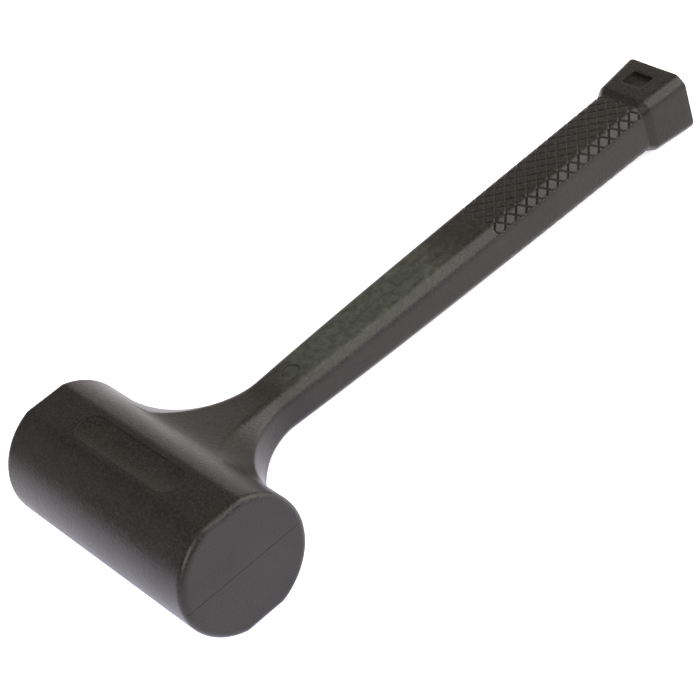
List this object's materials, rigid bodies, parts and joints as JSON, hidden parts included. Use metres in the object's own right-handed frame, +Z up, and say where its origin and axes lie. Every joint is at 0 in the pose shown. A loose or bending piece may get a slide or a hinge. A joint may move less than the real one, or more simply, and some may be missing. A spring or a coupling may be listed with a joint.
{
  "type": "dead blow mallet",
  "caption": "Black one-piece moulded dead blow mallet: shot-filled round head with two flats, fillet neck, octagonal handle with diamond grip and flared butt.",
  "frame": {"origin": "centre of the head's lower flat, on which the mallet lies", "axes": "+X along the head towards the striking face seen in the picture, +Y along the handle towards the butt, +Z up through the broad faces of the handle; the head's axis is 28.5 mm above the origin"},
  "size_m": [0.122, 0.3282, 0.057],
  "materials": {
    "casing": "black moulded soft plastic, satin, fine mould texture",
    "canister": "drawn steel tube and pressed discs",
    "rod": "hot rolled steel bar, welded foot",
    "shot": "tumbled steel shot"
  },
  "bodies": {
    "mallet": {"casing": "casing", "canister_tube": "canister", "canister_cap_front": "canister", "canister_cap_rear": "canister", "handle_rod": "rod"},
    "shot_charge": {"shot_01": "shot", "shot_02": "shot", "shot_03": "shot", "shot_04": "shot", "shot_05": "shot", "shot_06": "shot", "shot_07": "shot", "shot_08": "shot", "shot_09": "shot", "shot_10": "shot", "shot_11": "shot", "shot_12": "shot", "shot_13": "shot", "shot_14": "shot", "shot_15": "shot", "shot_16": "shot", "shot_17": "shot", "shot_18": "shot", "shot_19": "shot", "shot_20": "shot", "shot_21": "shot", "shot_22": "shot", "shot_23": "shot", "shot_24": "shot", "shot_25": "shot", "shot_26": "shot", "shot_27": "shot", "shot_28": "shot", "shot_29": "shot", "shot_30": "shot", "shot_31": "shot", "shot_32": "shot", "shot_33": "shot", "shot_34": "shot", "shot_35": "shot", "shot_36": "shot", "shot_37": "shot", "shot_38": "shot", "shot_39": "shot", "shot_40": "shot", "shot_41": "shot", "shot_42": "shot", "shot_43": "shot", "shot_44": "shot", "shot_45": "shot", "shot_46": "shot", "shot_47": "shot", "shot_48": "shot"}
  },
  "joints": [
    {"name": "shot_slide", "type": "slide", "parent": "mallet", "child": "shot_charge", "axis": [1, 0, 0], "range_m": [0, 0.025]}
  ]
}
